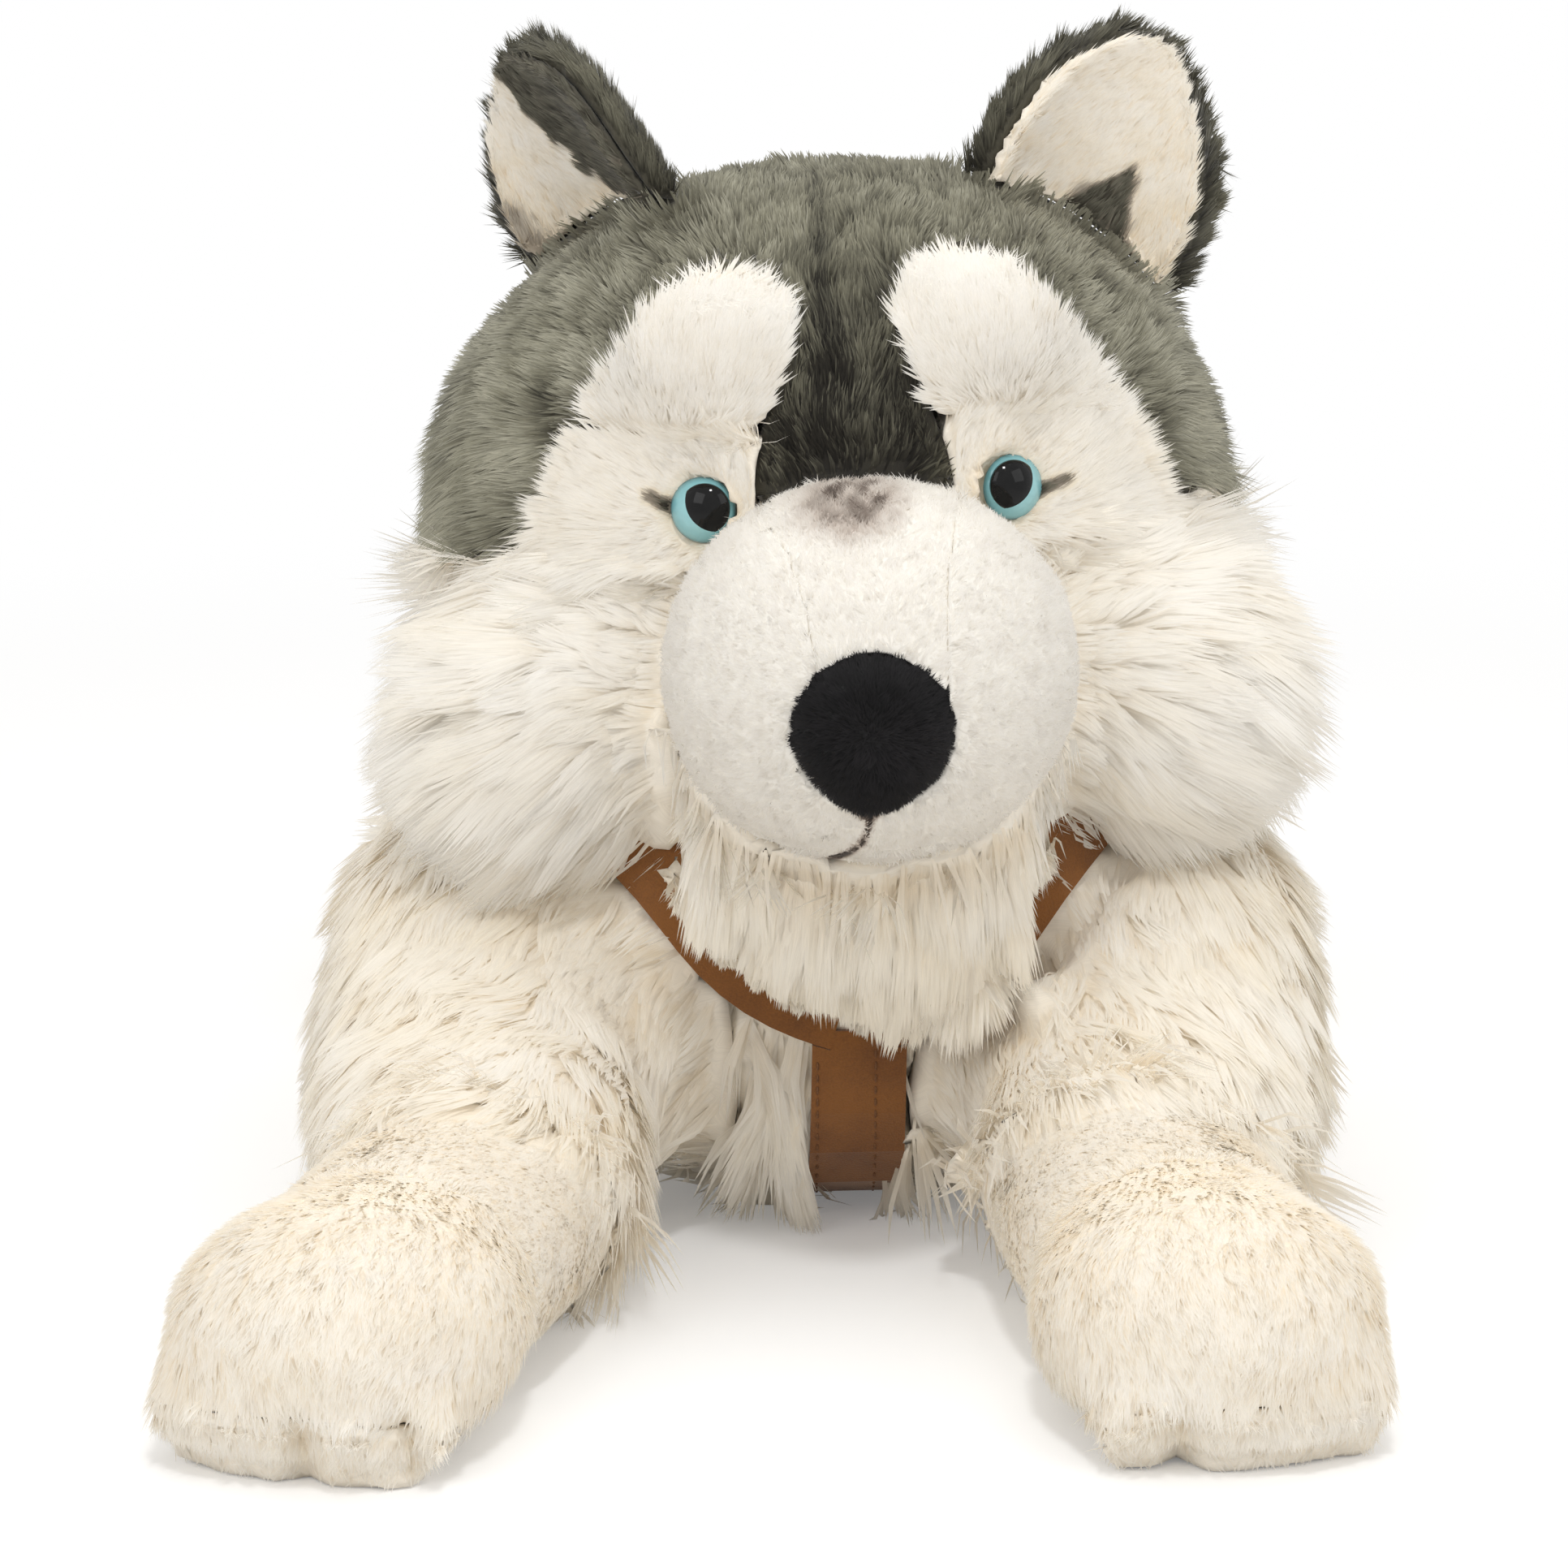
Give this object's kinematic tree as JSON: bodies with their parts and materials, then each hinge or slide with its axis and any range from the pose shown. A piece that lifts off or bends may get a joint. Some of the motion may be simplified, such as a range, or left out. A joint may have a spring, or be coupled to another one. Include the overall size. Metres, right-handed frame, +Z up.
{
  "type": "plush husky",
  "caption": "Long-pile plush husky lying on its chest with outstretched forelegs, upright ears, a round muzzle and a soft strap harness.",
  "frame": {"origin": "middle of the bounding box's underside, on the floor that the toy lies on", "axes": "+Z up, -Y the way the dog looks, +X the dog's left side"},
  "size_m": [0.3156, 0.6562, 0.332],
  "materials": {
    "grey_pile": "grey-green long pile with lighter tips",
    "white_pile": "white long pile",
    "cream_pile": "cream short pile",
    "white_velour": "white short pile",
    "black_pile": "black short pile",
    "brown_felt": "brown felt with edge stitching",
    "eye_plastic": "glossy, light blue ring with a black pupil",
    "washer_plastic": "natural"
  },
  "bodies": {
    "root": {"head_crown": "grey_pile", "ear_back_left": "grey_pile", "ear_back_right": "grey_pile", "mantle": "grey_pile", "tail": "grey_pile", "brow_left": "white_pile", "brow_right": "white_pile", "face_left": "white_pile", "face_right": "white_pile", "cheek_left": "white_pile", "cheek_right": "white_pile", "bib": "white_pile", "torso": "white_pile", "upper_foreleg_left": "white_pile", "upper_foreleg_right": "white_pile", "hind_thigh_left": "white_pile", "hind_thigh_right": "white_pile", "tail_tip": "white_pile", "lower_foreleg_left": "cream_pile", "lower_foreleg_right": "cream_pile", "forepaw_left": "cream_pile", "forepaw_right": "cream_pile", "hind_paw_left": "cream_pile", "hind_paw_right": "cream_pile", "ear_lining_left": "cream_pile", "ear_lining_right": "cream_pile", "muzzle_bridge": "white_velour", "muzzle_side_left": "white_velour", "muzzle_side_right": "white_velour", "lower_jaw": "white_velour", "forepaw_sole_left": "white_velour", "forepaw_sole_right": "white_velour", "nose": "black_pile", "shoulder_strap_left": "brown_felt", "shoulder_strap_right": "brown_felt", "breast_strap": "brown_felt", "girth_strap": "brown_felt", "eye_left": "eye_plastic", "eye_right": "eye_plastic", "eye_washer_left": "washer_plastic", "eye_washer_right": "washer_plastic"}
  },
  "joints": []
}
